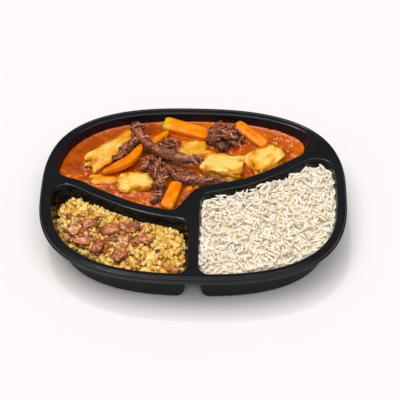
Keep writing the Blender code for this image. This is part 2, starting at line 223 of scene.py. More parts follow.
def front_room(points, side, back_corner):
    """The room in a front compartment: side is -1 left of the post and 1 right of it."""
    divider = -signed_distance(points, DIVIDER) - DIVIDER_HALF_WIDTH
    post = side * (points[:, 0] - POST_X) - POST_HALF_WIDTH
    room = rounded(rim_room(points), divider, corner_radius(points, RICE_RIGHT_CORNER))
    post_corner = np.where(points[:, 1] > POST_MIDDLE_Y, back_corner, POST_FRONT_CORNER)
    return rounded(room, post, post_corner)


def wall_inset(x, depth, end_slope):
    slope = math.tan(DRAFT) * (1 + END_DRAFT_GAIN * (x / HALF_LENGTH) ** 2)
    slope = slope + end_slope * np.maximum(x / HALF_LENGTH, 0) ** 6
    return EDGE_FILLET + (depth - EDGE_FILLET) * slope


class Pod:
    """One compartment: the room along rays from its centre gives its wall at any depth."""

    REACH = np.linspace(0.01, 0.15, 420)

    def __init__(self, room, centre, count, end_slope=0.0):
        self.centre = np.array(centre) * MM
        self.end_slope = end_slope
        even = np.linspace(-math.pi, math.pi, 360, endpoint=False)
        self.look_along(room, even)
        edge = spaced(self.ring(lambda x: 0 * x), count, 0.35)
        out = edge - self.centre
        self.look_along(room, np.sort(np.arctan2(out[:, 1], out[:, 0])))
        self.edge_reach = np.linalg.norm(self.ring(lambda x: 0 * x) - self.centre, axis=1)

    def look_along(self, room, angles):
        self.angles = angles
        self.ways = np.stack([np.cos(angles), np.sin(angles)], 1)
        self.rooms = []
        for way in self.ways:
            self.rooms.append(room(self.centre + self.REACH[:, None] * way))

    def ring(self, inset):
        """Where each ray meets the wall, moved in by inset(x)."""
        out = []
        for way, rooms in zip(self.ways, self.rooms):
            spare = rooms - inset(self.centre[0] + self.REACH * way[0])
            last = np.nonzero(spare > 0)[0]
            last = last[last < len(spare) - 1].max()
            share = spare[last] / (spare[last] - spare[last + 1])
            out.append(self.REACH[last] + share * (self.REACH[last + 1] - self.REACH[last]))
        return self.centre + np.array(out)[:, None] * self.ways

    def clear(self, x, y):
        """How far inside the edge's plan a point is, along the ray through it."""
        dx, dy = x - self.centre[0], y - self.centre[1]
        reach = np.interp(math.atan2(dy, dx), self.angles, self.edge_reach, period=2 * math.pi)
        return reach - math.hypot(dx, dy)

    def wall(self, depth, inward):
        return self.ring(lambda x: wall_inset(x, depth, self.end_slope) + inward)

    def wall_at(self, depths, inward):
        """The ring along the straight wall whose depth differs from ray to ray."""
        upper = self.wall(EDGE_FILLET, inward)
        lower = self.wall(STRAIGHT_END, inward)
        share = (depths - EDGE_FILLET) / (STRAIGHT_END - EDGE_FILLET)
        return upper + share[:, None] * (lower - upper)


STEW_POD = Pod(stew_room, (-20, 35), 360, STEW_END_SLOPE)
CRUMBS_POD = Pod(lambda points: front_room(points, -1, CRUMBS_BACK_CORNER), (-55, -50), 260)
RICE_POD = Pod(lambda points: front_room(points, 1, RICE_BACK_CORNER), (60, -35), 260)


# ---------------------------------------------------------------- meshes


def lifted(ring, z):
    """The plan ring with a height for each point."""
    return np.column_stack([ring, np.broadcast_to(z, len(ring))])


def band_faces(first, second, count):
    """Quads between two rings of vertices that start at these indices."""
    here = np.arange(count)
    after = (here + 1) % count
    return np.stack([first + here, second + here, second + after, first + after], 1)


def mesh_of(name, points, faces):
    """A mesh from arrays, whose faces all have the same number of corners."""
    points = np.asarray(points, np.float32)
    faces = np.asarray(faces, np.int32)
    data = bpy.data.meshes.new(name)
    data.vertices.add(len(points))
    data.vertices.foreach_set("co", points.ravel())
    data.loops.add(faces.size)
    data.loops.foreach_set("vertex_index", faces.ravel())
    data.polygons.add(len(faces))
    data.polygons.foreach_set("loop_start", np.arange(len(faces), dtype=np.int32) * faces.shape[1])
    data.update(calc_edges=True)
    data.validate()
    return data


def piece(name, data, look, replaces=(), sharp=None, tone=None):
    """An object that rides with the meal and takes the material it is given."""
    data.shade_smooth()
    if sharp is not None:
        data.set_sharp_from_angle(angle=math.radians(sharp))
    if tone is not None:
        layer = data.attributes.new("tone", "FLOAT", "POINT")
        layer.data.foreach_set("value", np.asarray(tone, np.float32))
    data.materials.append(look)
    made = bpy.data.objects.new(name, data)
    bpy.context.scene.collection.objects.link(made)
    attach(made, "root")
    if replaces:
        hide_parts(*replaces)
    return made


def outward(data):
    """The same mesh with its faces turned out."""
    mesh = bmesh.new()
    mesh.from_mesh(data)
    bmesh.ops.recalc_face_normals(mesh, faces=mesh.faces)
    mesh.to_mesh(data)
    mesh.free()
    return data


def fractal(point, size, octaves=3):
    """Soft noise between about -1 and 1, whose largest lumps have this size in metres."""
    return noise.fractal(Vector(point) / size, 1.0, 2.0, octaves)


# ---------------------------------------------------------------- materials


class Look:
    """A material with a Principled shader and short calls for the nodes that feed it."""

    def __init__(self, name, roughness, **sockets):
        self.material = bpy.data.materials.new(name)
        self.material.use_nodes = True
        self.nodes = self.material.node_tree.nodes
        self.links = self.material.node_tree.links
        self.shader = self.nodes["Principled BSDF"]
        self.shader.inputs["Roughness"].default_value = roughness
        for socket, value in sockets.items():
            self.shader.inputs[socket.replace("_", " ")].default_value = value
        self.place = self.nodes.new("ShaderNodeTexCoord").outputs["Object"]

    def noise(self, size, detail=3.0, rough=0.55, stretch=None, distortion=0.0):
        """Noise whose lumps have this size in metres, stretched along each axis if asked."""
        node = self.nodes.new("ShaderNodeTexNoise")
        node.inputs["Scale"].default_value = 1 / size
        node.inputs["Detail"].default_value = detail
        node.inputs["Roughness"].default_value = rough
        node.inputs["Distortion"].default_value = distortion
        place = self.place
        if stretch is not None:
            mapping = self.nodes.new("ShaderNodeMapping")
            mapping.inputs["Scale"].default_value = stretch
            self.links.new(place, mapping.inputs["Vector"])
            place = mapping.outputs["Vector"]
        self.links.new(place, node.inputs["Vector"])
        return node.outputs["Fac"]

    def height(self, low, high):
        """0 at the height low and 1 at the height high."""
        split = self.nodes.new("ShaderNodeSeparateXYZ")
        self.links.new(self.place, split.inputs[0])
        return self.span(split.outputs["Z"], low, high)

    def span(self, value, low, high):
        node = self.nodes.new("ShaderNodeMapRange")
        node.inputs["From Min"].default_value = low
        node.inputs["From Max"].default_value = high
        self.links.new(value, node.inputs["Value"])
        return node.outputs["Result"]

    def attribute(self, name):
        node = self.nodes.new("ShaderNodeAttribute")
        node.attribute_name = name
        return node.outputs["Fac"]

    def maths(self, operation, first, second):
        node = self.nodes.new("ShaderNodeMath")
        node.operation = operation
        for socket, value in zip(node.inputs, (first, second)):
            if isinstance(value, (int, float)):
                socket.default_value = value
            else:
                self.links.new(value, socket)
        return node.outputs[0]

    def ramp(self, value, *stops):
        """Colours along a value: each stop is (position, (r, g, b))."""
        node = self.nodes.new("ShaderNodeValToRGB")
        elements = node.color_ramp.elements
        while len(elements) < len(stops):
            elements.new(0.5)
        for element, (position, colour) in zip(elements, stops):
            element.position = position
            element.color = (*colour, 1)
        self.links.new(value, node.inputs["Fac"])
        return node.outputs["Color"]

    def mix(self, share, first, second, blend="MIX"):
        node = self.nodes.new("ShaderNodeMix")
        node.data_type = "RGBA"
        node.blend_type = blend
        for socket, value in (("Factor", share), ("A", first), ("B", second)):
            target = [s for s in node.inputs if s.name == socket and s.enabled][0]
            if isinstance(value, (int, float)):
                target.default_value = value
            elif isinstance(value, tuple):
                target.default_value = (*value, 1)
            else:
                self.links.new(value, target)
        return [s for s in node.outputs if s.enabled][0]

    def colour(self, value):
        self.links.new(value, self.shader.inputs["Base Color"])

    def roughness(self, value, low, high):
        node = self.nodes.new("ShaderNodeMapRange")
        node.inputs["To Min"].default_value = low
        node.inputs["To Max"].default_value = high
        self.links.new(value, node.inputs["Value"])
        self.links.new(node.outputs["Result"], self.shader.inputs["Roughness"])

    def bump(self, height, depth, strength=1.0):
        """Relief of this depth in metres; more than one call adds up."""
        node = self.nodes.new("ShaderNodeBump")
        node.inputs["Distance"].default_value = depth
        node.inputs["Strength"].default_value = strength
        self.links.new(height, node.inputs["Height"])
        before = self.shader.inputs["Normal"].links
        if before:
            self.links.new(before[0].from_socket, node.inputs["Normal"])
        self.links.new(node.outputs["Normal"], self.shader.inputs["Normal"])


def tray_look(name, specular, smoothest, roughest):
    look = Look(name, 0.3, Specular_IOR_Level=specular)
    speckle = look.noise(0.9 * MM, 2)
    cloud = look.noise(25 * MM, 2)
    look.colour(look.ramp(cloud, (0.3, (0.009, 0.009, 0.0105)), (0.7, (0.013, 0.013, 0.015))))
    look.roughness(cloud, smoothest, roughest)
    look.bump(speckle, 0.02 * MM, 0.4)
    return look.material


def sauce_look():
    look = Look("tomato_sauce", 0.12, Specular_IOR_Level=0.38)
    broad = look.noise(24 * MM, 3, 0.5, distortion=0.8)
    fine = look.noise(1.7 * MM, 4, 0.6)
    base = look.ramp(
        broad,
        (0.34, (0.33, 0.045, 0.001)),
        (0.5, (0.56, 0.092, 0.001)),
        (0.66, (0.76, 0.155, 0.002)),
    )
    pulp = look.ramp(fine, (0.42, (0.72, 0.62, 0.6)), (0.72, (1.3, 1.4, 1.2)))
    look.colour(look.mix(0.6, base, pulp, "MULTIPLY"))
    look.roughness(fine, 0.07, 0.16)
    look.bump(fine, 0.3 * MM, 0.6)
    look.bump(look.noise(5 * MM, 3), 1.1 * MM, 0.6)
    return look.material


CREAM = (0.98, 0.67, 0.17)
GOLD = (0.86, 0.36, 0.012)
BROWNED_AND_SHADED = (0.36, 0.09, 0.005)


def potato_look(node, paleness):
    """Boiled flesh: cream where it faces up and gold to brown on its sides, painted light and
    shade; darker towards the bottom and on brown patches of its edges.
    """
    low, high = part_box(node)
    foot = max(low.z, SAUCE_Z)
    look = Look(f"look_{node}", 0.3, Subsurface_Weight=0.15, Subsurface_Scale=0.002)
    look.shader.inputs["Subsurface Radius"].default_value = (1.0, 0.5, 0.15)
    look.shader.inputs["Specular IOR Level"].default_value = 0.25
    cloud = look.noise(9 * MM, 3, 0.55)
    flesh = look.noise(2.6 * MM, 3, 0.55)
    # The tone is high where the flesh faces up and low on its sides, painted light and shade, and
    # lower on brown patches of its edges.
    facing = look.maths("MULTIPLY", look.attribute("tone"), 1.1)
    shade = look.maths("ADD", facing, look.maths("MULTIPLY", cloud, 3.0))
    shade = look.maths("ADD", shade, look.maths("MULTIPLY", flesh, 0.8))
    # Lighter higher up, darker towards the bottom.
    shade = look.maths("ADD", shade, look.maths("MULTIPLY", look.height(foot, high.z), 0.3))
    base = look.ramp(
        look.span(shade, 1.7, 5.2 - 1.85 * paleness),
        (0.04, BROWNED_AND_SHADED),
        (0.2, (0.66, 0.21, 0.008)),
        (0.42, GOLD),
        (0.76, CREAM),
    )
    look.colour(base)
    look.roughness(flesh, 0.16, 0.4)
    look.bump(flesh, 0.6 * MM, 0.5)
    look.bump(look.noise(1.0 * MM, 2), 0.15 * MM, 0.4)
    return look.material


def carrot_look():
    """Orange flesh, with a yellow core where the mesh's tone is 1."""
    look = Look("cooked_carrot", 0.22, Subsurface_Weight=0.1, Subsurface_Scale=0.002)
    look.shader.inputs["Subsurface Radius"].default_value = (1.0, 0.35, 0.1)
    look.shader.inputs["Specular IOR Level"].default_value = 0.15
    flesh = look.noise(7 * MM, 3, 0.55)
    base = look.ramp(flesh, (0.36, (0.86, 0.18, 0.001)), (0.62, (0.92, 0.29, 0.001)))
    base = look.mix(look.attribute("tone"), base, (0.72, 0.5, 0.015))
    shade = look.maths("ADD", look.height(SAUCE_Z - MM, SAUCE_Z + 1.5 * MM), flesh)
    stain = look.ramp(shade, (0.4, (1.0, 1.0, 1.0)), (0.75, (0.0, 0.0, 0.0)))
    look.colour(look.mix(look.maths("MULTIPLY", stain, 0.5), base, (0.6, 0.095, 0.003)))
    look.roughness(flesh, 0.14, 0.34)
    look.bump(look.noise(1.5 * MM, 3), 0.2 * MM, 0.4)
    return look.material


def toned(look, tone_share, cloud, cloud_share):
    """The mesh's own tone mixed with some noise."""
    tone = look.maths("MULTIPLY", look.attribute("tone"), tone_share)
    return look.maths("ADD", tone, look.maths("MULTIPLY", cloud, cloud_share))


def meat_look():
    look = Look("braised_rib", 0.36, Specular_IOR_Level=0.4)
    grain = look.noise(2.6 * MM, 4, 0.65)
    # The mesh's tone carries painted light and shade: fibres on a strip's upper side are lighter,
    # and the core under them is dark.
    look.colour(
        look.ramp(
            toned(look, 0.6, grain, 0.55),
            (0.28, (0.016, 0.004, 0.002)),
            (0.44, (0.085, 0.017, 0.006)),
            (0.6, (0.25, 0.055, 0.02)),
            (0.76, (0.5, 0.16, 0.068)),
            (0.92, (0.85, 0.47, 0.27)),
        )
    )
    look.roughness(grain, 0.2, 0.5)
    look.bump(look.noise(0.8 * MM, 3), 0.3 * MM, 0.6)
    return look.material


def rice_look(name, deep):
    look = Look(name, 0.4, Subsurface_Weight=0.3, Subsurface_Scale=0.0015)
    look.shader.inputs["Subsurface Radius"].default_value = (1.0, 0.8, 0.6)
    look.shader.inputs["Specular IOR Level"].default_value = 0.4
    look.shader.inputs["Sheen Weight"].default_value = 0.5
    look.shader.inputs["Sheen Roughness"].default_value = 0.6
    look.shader.inputs["Sheen Tint"].default_value = (1.0, 0.93, 0.8, 1.0)
    cloud = look.noise(3 * MM, 2)
    look.colour(
        look.ramp(
            toned(look, 0.7, cloud, 0.4),
            (0.2, deep),
            (0.45, (1.0, 0.86, 0.68)),
            (0.85, (1.0, 0.91, 0.79)),
        )
    )
    look.roughness(cloud, 0.38, 0.55)
    return look.material


def crumbs_look():
    look = Look("toasted_crumbs", 0.7, Specular_IOR_Level=0.3)
    cloud = look.noise(1.6 * MM, 4, 0.6)
    look.colour(
        look.ramp(
            toned(look, 0.7, cloud, 0.4),
            (0.12, (0.14, 0.045, 0.006)),
            (0.36, (0.56, 0.24, 0.025)),
            (0.58, (0.92, 0.55, 0.09)),
            (0.85, (1.0, 0.8, 0.3)),
        )
    )
    look.bump(cloud, 0.5 * MM, 0.7)
    return look.material


def bacon_look():
    look = Look("fried_bacon", 0.32, Specular_IOR_Level=0.5)
    streak = look.noise(4.0 * MM, 3, 0.5, stretch=(1.0, 1.6, 2.4))
    fine = look.noise(1.2 * MM, 3)
    look.colour(
        look.ramp(
            toned(look, 0.5, streak, 0.8),
            (0.3, (0.045, 0.01, 0.003)),
            (0.48, (0.2, 0.045, 0.011)),
            (0.62, (0.4, 0.1, 0.024)),
            (0.76, (0.62, 0.21, 0.065)),
            (0.92, (0.85, 0.55, 0.24)),
        )
    )
    look.roughness(fine, 0.22, 0.45)
    look.bump(fine, 0.3 * MM, 0.6)
    return look.material


# ---------------------------------------------------------------- the tray


def pod_rings(pod, thickness):
    """A compartment's rings from the flat beside its edge down to its floor."""
    rings = [(pod.ring(lambda x: 0 * x - 0.25 * MM), -thickness)]
    fillet = EDGE_FILLET - thickness
    for turn in range(0, 91, 15):
        angle = math.radians(turn)
        inset = fillet * math.sin(angle)
        ring = pod.ring(lambda x, inset=inset: 0 * x + inset)
        rings.append((ring, -EDGE_FILLET + fillet * math.cos(angle)))
    for depth in (EDGE_FILLET + 0.6 * MM, STRAIGHT_END - MM):
        rings.append((pod.wall_at(np.full(len(pod.angles), depth), -thickness), -depth))
    radius = FLOOR_FILLET + thickness
    for turn in range(0, 91, 15):
        angle = math.radians(turn)
        inward = radius * (1 - math.cos(angle)) - thickness
        rings.append((pod.wall(STRAIGHT_END, inward), -STRAIGHT_END - radius * math.sin(angle)))
    last = -STRAIGHT_END - radius
    rings.append((pod.wall(STRAIGHT_END, radius + 0.4 * MM - thickness), last))
    return rings


def make_tray():
    """The shell's glossy upper side with its rim, and its duller underside."""
    outline = superellipse(300)
    rim = [(offset(outline, out * MM), -down * MM) for out, down in RIM_PROFILE]
    top = tray_look("tray_plastic", 0.2, 0.08, 0.15)
    under = tray_look("tray_underside", 0.08, 0.35, 0.5)
    made = tray_side("tray_shell", rim, 0, 0.0, top, ["tray"])
    tray_side("tray_underside", rim[-1:], -1, WALL, under)
    return made


def tray_side(name, rim_rings, edge, thickness, look, replaces=()):
    """Rim rings, a flat fill from the rim's edge ring, and the three compartments."""
    mesh = bmesh.new()

    def add(ring, z):
        return [mesh.verts.new(point) for point in lifted(ring, FLANGE_Z + z)]

    def join(rings):
        for upper, lower in zip(rings, rings[1:]):
            count = len(upper)
            for k in range(count):
                after = (k + 1) % count
                mesh.faces.new((upper[k], lower[k], lower[after], upper[after]))

    def fill(rings):
        edges = []
        for ring in rings:
            for k, vert in enumerate(ring):
                pair = (vert, ring[(k + 1) % len(ring)])
                edges.append(mesh.edges.get(pair) or mesh.edges.new(pair))
        bmesh.ops.triangle_fill(mesh, use_beauty=True, edges=edges, normal=(0, 0, 1))

    rim = [add(*ring) for ring in rim_rings]
    join(rim)
    tops = []
    for pod in (STEW_POD, CRUMBS_POD, RICE_POD):
        rings = [add(*ring) for ring in pod_rings(pod, thickness)]
        join(rings)
        mesh.faces.new(rings[-1])
        tops.append(rings[0])
    fill([rim[edge], *tops])
    bmesh.ops.recalc_face_normals(mesh, faces=mesh.faces)
    data = bpy.data.meshes.new(name)
    mesh.to_mesh(data)
    mesh.free()
    return piece(name, data, look, replaces, sharp=50)


# ---------------------------------------------------------------- heaps and sauce


class Heap:
    """The height of food that fills a pod, from an edge height along each ray up to a peak."""

    def __init__(self, pod, edge_height, peak, steepness, seed, roughness):
        self.pod = pod
        self.peak = peak
        self.steepness = steepness
        self.seed = seed
        self.roughness = roughness
        self.edges = np.array([edge_height(angle) for angle in pod.angles])
        self.wall = pod.wall_at(-self.edges, 0.3 * MM)
        self.reach = np.linalg.norm(self.wall - pod.centre, axis=1)

    def share(self, x, y):
        """How far out a point is: 0 at the centre and 1 at the wall; and the wall's height."""
        dx, dy = x - self.pod.centre[0], y - self.pod.centre[1]
        angle = math.atan2(dy, dx)
        reach = np.interp(angle, self.pod.angles, self.reach, period=2 * math.pi)
        edge = np.interp(angle, self.pod.angles, self.edges, period=2 * math.pi)
        return math.hypot(dx, dy) / reach, edge

    def height(self, x, y):
        """The top's height in the row frame, or None outside the pod."""
        share, edge = self.share(x, y)
        if share > 1:
            return None
        lump = noise.noise(Vector((x, y, self.seed)) / (14 * MM))
        level = self.peak + (edge - self.peak) * share**self.steepness
        return FLANGE_Z + level + self.roughness * lump * (1 - share**4)

    def solid(self, rings, top, drop):
        """Points and faces of the filled pod, its top shaped by top(x, y, share)."""
        count = len(self.wall)
        centre = self.pod.centre
        points = [(*centre, top(centre[0], centre[1], 0.0))]
        for step in range(1, rings + 1):
            share = (step / rings) ** 0.9
            for x, y in centre + share * (self.wall - centre):
                points.append((x, y, top(x, y, share)))
        for depth, inward, z in (
            (STRAIGHT_END, 0.3 * MM, -STRAIGHT_END),
            (STRAIGHT_END, FLOOR_FILLET, drop - FLOOR_DEPTH),
        ):
            ring = lifted(self.pod.wall(depth, inward), FLANGE_Z + z)
            points.extend(map(tuple, ring))
        points.append((*centre, FLANGE_Z + drop - FLOOR_DEPTH))
        faces = [band_faces(1 + k * count, 1 + (k + 1) * count, count) for k in range(rings + 1)]
        quads = np.vstack(faces)
        triangles = np.vstack([quads[:, [0, 1, 2]], quads[:, [0, 2, 3]]])
        here = np.arange(count)
        after = (here + 1) % count
        cap = np.stack([0 * here, 1 + here, 1 + after], 1)
        last = 1 + (rings + 1) * count
        base = np.stack([0 * here + len(points) - 1, last + after, last + here], 1)
        return np.array(points), np.vstack([triangles, cap, base])


def make_sauce(pieces):
    """Sauce up to its level, drawn up a little at the wall and round what stands in it."""
    heap = Heap(STEW_POD, lambda angle: -SAUCE_DROP, -SAUCE_DROP, 1, 0.0, 0.0)
    tree = tree_of(pieces)

    def top(x, y, share):
        z = FLANGE_Z - SAUCE_DROP
        stirred = clamped((share - 0.5) / 0.3) if y < 25 * MM or x > 60 * MM else 0.0
        z += (0.32 + 0.4 * stirred) * MM * fractal((x, y, 0.3), (8 - 2 * stirred) * MM, 4)
        z += 0.9 * MM * math.exp(-(1 - share) * 75 / 1.2)
        _, _, _, distance = tree.find_nearest(Vector((x, y, z)), 8 * MM)
        if distance is not None:
            z += 0.9 * MM * math.exp(-distance / (1.1 * MM))
        return z

    points, faces = heap.solid(110, top, 0.3 * MM)
    data = outward(mesh_of("sauce_surface", points, faces))
    return piece("sauce_surface", data, sauce_look(), ["sauce"])


def tree_of(pieces):
    """A search tree over several pieces' faces."""
    points, faces = [], []
    for made in pieces:
        start = len(points)
        points.extend(vert.co for vert in made.data.vertices)
        faces.extend([start + v for v in face.vertices] for face in made.data.polygons)
    return BVHTree.FromPolygons(points, faces)


RICE_HEAP = Heap(
    RICE_POD,
    lambda angle: (-5.6 + 1.2 * math.cos(angle) - 3.0 * math.sin(angle)) * MM,
    1.5 * MM,
    3,
    0.3,
    2.4 * MM,
)
CRUMBS_HEAP = Heap(
    CRUMBS_POD,
    lambda angle: (
        -11.8 - 1.0 * math.cos(angle) - 3.2 * math.cos(2 * angle) - 4.5 * math.sin(angle)
    )
    * MM,
    0.5 * MM,
    5,
    0.7,
    3.2 * MM,
)


def make_rice_core():
    def top(x, y, share):
        base = RICE_HEAP.height(*(RICE_POD.centre + 0.999 * (np.array([x, y]) - RICE_POD.centre)))
        return base - 1.8 * MM + 0.7 * MM * fractal((x, y, 1.3), 3 * MM, 2)

    points, faces = RICE_HEAP.solid(60, top, 0.3 * MM)
    data = outward(mesh_of("rice_core", points, faces))
    # The core under the grains takes the low tone, a darker tan than the grains: painted shade
    # between the grains.
    tone = np.full(len(data.vertices), 0.1)
    look = rice_look("rice_core", (0.98, 0.76, 0.46))
    return piece("rice_core", data, look, ["rice"], tone=tone)


def grain_shape(sides, rings, length, width, bow):
    """One grain along X, blunt at its ends and slightly bowed."""
    points = [(-length / 2, 0, 0)]
    for k in range(1, rings + 1):
        along = -1 + 2 * k / (rings + 1)
        girth = (1 - abs(along) ** 2.5) ** 0.55 * (1 - 0.1 * along)
        for step in range(sides):
            angle = 2 * math.pi * step / sides
            y = 0.5 * width * girth * math.cos(angle)
            z = 0.36 * width * girth * math.sin(angle)
            points.append((along * length / 2, y + bow * (along**2 - 0.4), z))
    points.append((length / 2, 0, 0))
    points = np.array(points)
    points[0, 1] = points[-1, 1] = bow * 0.6
    faces = []
    for k in range(rings - 1):
        for step in range(sides):
            a = 1 + k * sides + step
            b = 1 + k * sides + (step + 1) % sides
            faces += [(a, b, b + sides), (a, b + sides, a + sides)]
    last = len(points) - 1
    for step in range(sides):
        after = (step + 1) % sides
        faces.append((0, 1 + after, 1 + step))
        faces.append((last, last - sides + step, last - sides + after))
    return points, np.array(faces)


# Tries at dropping a grain; those where the heap already stands full are skipped.
GRAINS = 2300


def make_grains():
    """Cooked grains dropped one by one on a height map until the heap is covered."""
    chance = random.Random(11)
    cell = 0.5 * MM
    low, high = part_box("rice")
    nx = int((high.x - low.x) / cell) + 2
    ny = int((high.y - low.y) / cell) + 2
    target = np.full((nx, ny), np.nan)
    for i in range(nx):
        for j in range(ny):
            height = RICE_HEAP.height(low.x + i * cell, low.y + j * cell)
            if height is not None:
                target[i, j] = height
    inside = ~np.isnan(target)
    target -= 1.0 * MM
    ground = np.where(inside, target - 3.2 * MM, np.nan)
    open_cells = np.argwhere(inside)
    all_points, all_faces, tones = [], [], []
    start = 0
    for _ in range(GRAINS):
        picks = open_cells[[chance.randrange(len(open_cells)) for _ in range(14)]]
        lacks = [target[i, j] - ground[i, j] for i, j in picks]
        if max(lacks) < 0.75 * MM:
            continue
        i, j = picks[int(np.argmax(lacks))]
        x, y = low.x + i * cell, low.y + j * cell
        length = chance.uniform(6.4, 8.8) * MM
        width = chance.uniform(2.2, 2.8) * MM
        placed = None
        for _attempt in range(6):
            yaw = chance.uniform(0, math.pi)
            along = np.linspace(-0.46, 0.46, 9) * length
            gx = ((x + along * math.cos(yaw) - low.x) / cell).round().astype(int)
            gy = ((y + along * math.sin(yaw) - low.y) / cell).round().astype(int)
            if gx.min() < 0 or gy.min() < 0 or gx.max() >= nx or gy.max() >= ny:
                continue
            beneath = ground[gx, gy]
            if np.isnan(beneath).any():
                continue
            placed = beneath
            break
        if placed is None:
            continue
        slope = (placed[5:].mean() - placed[:4].mean()) / (0.5 * length)
        pitch = max(-0.5, min(0.5, math.atan(slope) + chance.gauss(0, 0.1)))
        rise = along * math.sin(pitch)
        middle = np.sort(placed - rise)[-3] + 0.32 * width
        points, faces = grain_shape(7, 8, length, width, chance.uniform(-0.5, 0.5) * MM)
        spin = Matrix.Rotation(yaw, 3, "Z") @ Matrix.Rotation(-pitch, 3, "Y")
        spin = spin @ Matrix.Rotation(chance.uniform(0, 2 * math.pi), 3, "X")
        points = points @ np.array(spin).T + (x, y, middle)
        all_points.append(points)
        all_faces.append(faces + start)
        start += len(points)
        tones.append(np.full(len(points), chance.uniform(0.3, 1.0)))
        for s, gi, gj in zip(along, gx, gy):
            top = middle + s * math.sin(pitch) + 0.3 * width
            across = int(0.4 * width / cell)
            for di in range(-across, across + 1):
                for dj in range(-across, across + 1):
                    ii, jj = gi + di, gj + dj
                    if 0 <= ii < nx and 0 <= jj < ny and ground[ii, jj] < top:
                        ground[ii, jj] = top
    data = mesh_of("rice_grains", np.vstack(all_points), np.vstack(all_faces))
    look = rice_look("cooked_rice", (0.98, 0.78, 0.52))
    return piece("rice_grains", data, look, tone=np.concatenate(tones))


def crumb_relief(x, y):
    """Heaps of clumps about a centimetre across, with smaller lumps on them."""
    return (2.3 * fractal((x, y, 9.3), 9 * MM, 2) + 0.9 * fractal((x, y, 4.1), 3.5 * MM, 2)) * MM


def set_back(x, y, share):
    """How far the crumbs have slumped from the wall at the compartment's left end."""
    leftward = clamped((-70 * MM - x) / (35 * MM))
    return 9 * MM * leftward * clamped((share - 0.8) / 0.2) ** 1.5


def make_crumb_core():
    def top(x, y, share):
        inner = CRUMBS_POD.centre + 0.999 * (np.array([x, y]) - CRUMBS_POD.centre)
        level = CRUMBS_HEAP.height(*inner) - 4.2 * MM + crumb_relief(x, y)
        return level - set_back(x, y, share)

    points, faces = CRUMBS_HEAP.solid(110, top, 0.3 * MM)
    data = outward(mesh_of("crumbs_core", points, faces))
    chance = random.Random(3)
    # The core under the clumps takes a low tone, a dark brown: painted shade in the crevices
    # between the clumps.
    tone = [chance.uniform(0.0, 0.35) for _ in data.vertices]
    return piece("crumbs_core", data, crumbs_look(), ["crumbs"], tone=tone)


def ball(subdivisions, seed, uneven):
    """A lumpy ball of about radius 1, as points and faces."""
    mesh = bmesh.new()
    bmesh.ops.create_icosphere(mesh, subdivisions=subdivisions, radius=1.0)
    shift = Vector((seed * 2.3, seed * 0.7, seed * 1.9))
    points = []
    for vert in mesh.verts:
        points.append(vert.co * (1 + uneven * noise.noise(vert.co * 1.6 + shift)))
    faces = [[vert.index for vert in face.verts] for face in mesh.faces]
    mesh.free()
    return np.array(points), np.array(faces)


def random_turn(chance):
    axis = Vector((chance.gauss(0, 1), chance.gauss(0, 1), chance.gauss(0, 1))).normalized()
    return np.array(Matrix.Rotation(chance.uniform(0, 2 * math.pi), 3, axis))


def scatter(places, shapes, chance):
    """Many small shapes joined: each place is (x, y, z, size, tone)."""
    all_points, all_faces, tones = [], [], []
    start = 0
    for x, y, z, size, tone in places:
        points, faces = chance.choice(shapes)
        stretch = np.array([chance.uniform(0.75, 1.25) for _ in range(3)]) * size / 2
        points = (points * stretch) @ random_turn(chance).T + (x, y, z)
        all_points.append(points)
        all_faces.append(faces + start)
        start += len(points)
        tones.append(np.full(len(points), tone))
    return np.vstack(all_points), np.vstack(all_faces), np.concatenate(tones)


def spread(count, gap, node, allowed, chance):
    """Random places over a node's box, at least gap apart and only where allowed."""
    low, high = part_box(node)
    cells, places = {}, []
    for _ in range(count * 40):
        x, y = chance.uniform(low.x, high.x), chance.uniform(low.y, high.y)
        column, row = int(x / gap), int(y / gap)
        near = [cells.get((column + i, row + j)) for i in (-1, 0, 1) for j in (-1, 0, 1)]
        if not allowed(x, y) or any(math.dist(other, (x, y)) < gap for other in near if other):
            continue
        cells[column, row] = (x, y)
        places.append((x, y))
        if len(places) == count:
            break
    return places


def clamped(value):
    return min(1.0, max(0.0, value))


def make_crumbs():
    """Popcorn-like clumps, each a lumpy ball with smaller grains stuck to it."""
    chance = random.Random(5)
    places = spread(
        900, 2.9 * MM, "crumbs", lambda x, y: CRUMBS_HEAP.share(x, y)[0] < 0.965, chance
    )
    clumps, grains = [], []
    for x, y in places:
        size = 2.6 * MM + 3.4 * MM * chance.random() ** 1.7
        share, _ = CRUMBS_HEAP.share(x, y)
        z = CRUMBS_HEAP.height(x, y) - 0.62 * size + crumb_relief(x, y) - set_back(x, y, share)
        tone = clamped(chance.gauss(0.64, 0.15) + 0.25 * fractal((x, y, 2.2), 8 * MM, 2))
        clumps.append((x, y, z, size, tone))
        for _ in range(10):
            way = Vector((chance.gauss(0, 1), chance.gauss(0, 1), chance.gauss(0.5, 0.8)))
            dx, dy, dz = way.normalized() * 0.5 * size
            grain = chance.uniform(0.8, 1.9) * MM
            grains.append((x + dx, y + dy, z + dz, grain, clamped(tone + chance.gauss(0.06, 0.18))))
    for name, spots, subdivisions in (("crumb_clumps", clumps, 2), ("crumb_grains", grains, 1)):
        shapes = [ball(subdivisions, k, 0.75) for k in range(12)]
        points, faces, tone = scatter(spots, shapes, chance)
        data = mesh_of(name, points, faces)
        piece(name, data, crumbs_look(), tone=tone)


# ---------------------------------------------------------------- stew pieces


def block_mesh(name, cuts):
    mesh = bmesh.new()
    bmesh.ops.create_cube(mesh, size=2.0)
    bmesh.ops.subdivide_edges(mesh, edges=mesh.edges, cuts=cuts, use_grid_fill=True)
    data = bpy.data.meshes.new(name)
    mesh.to_mesh(data)
    mesh.free()
    return data


def turned(turn):
    yaw, pitch, roll = (math.radians(value) for value in turn)
    spin = Matrix.Rotation(yaw, 3, "Z") @ Matrix.Rotation(pitch, 3, "Y")
    return spin @ Matrix.Rotation(roll, 3, "X")


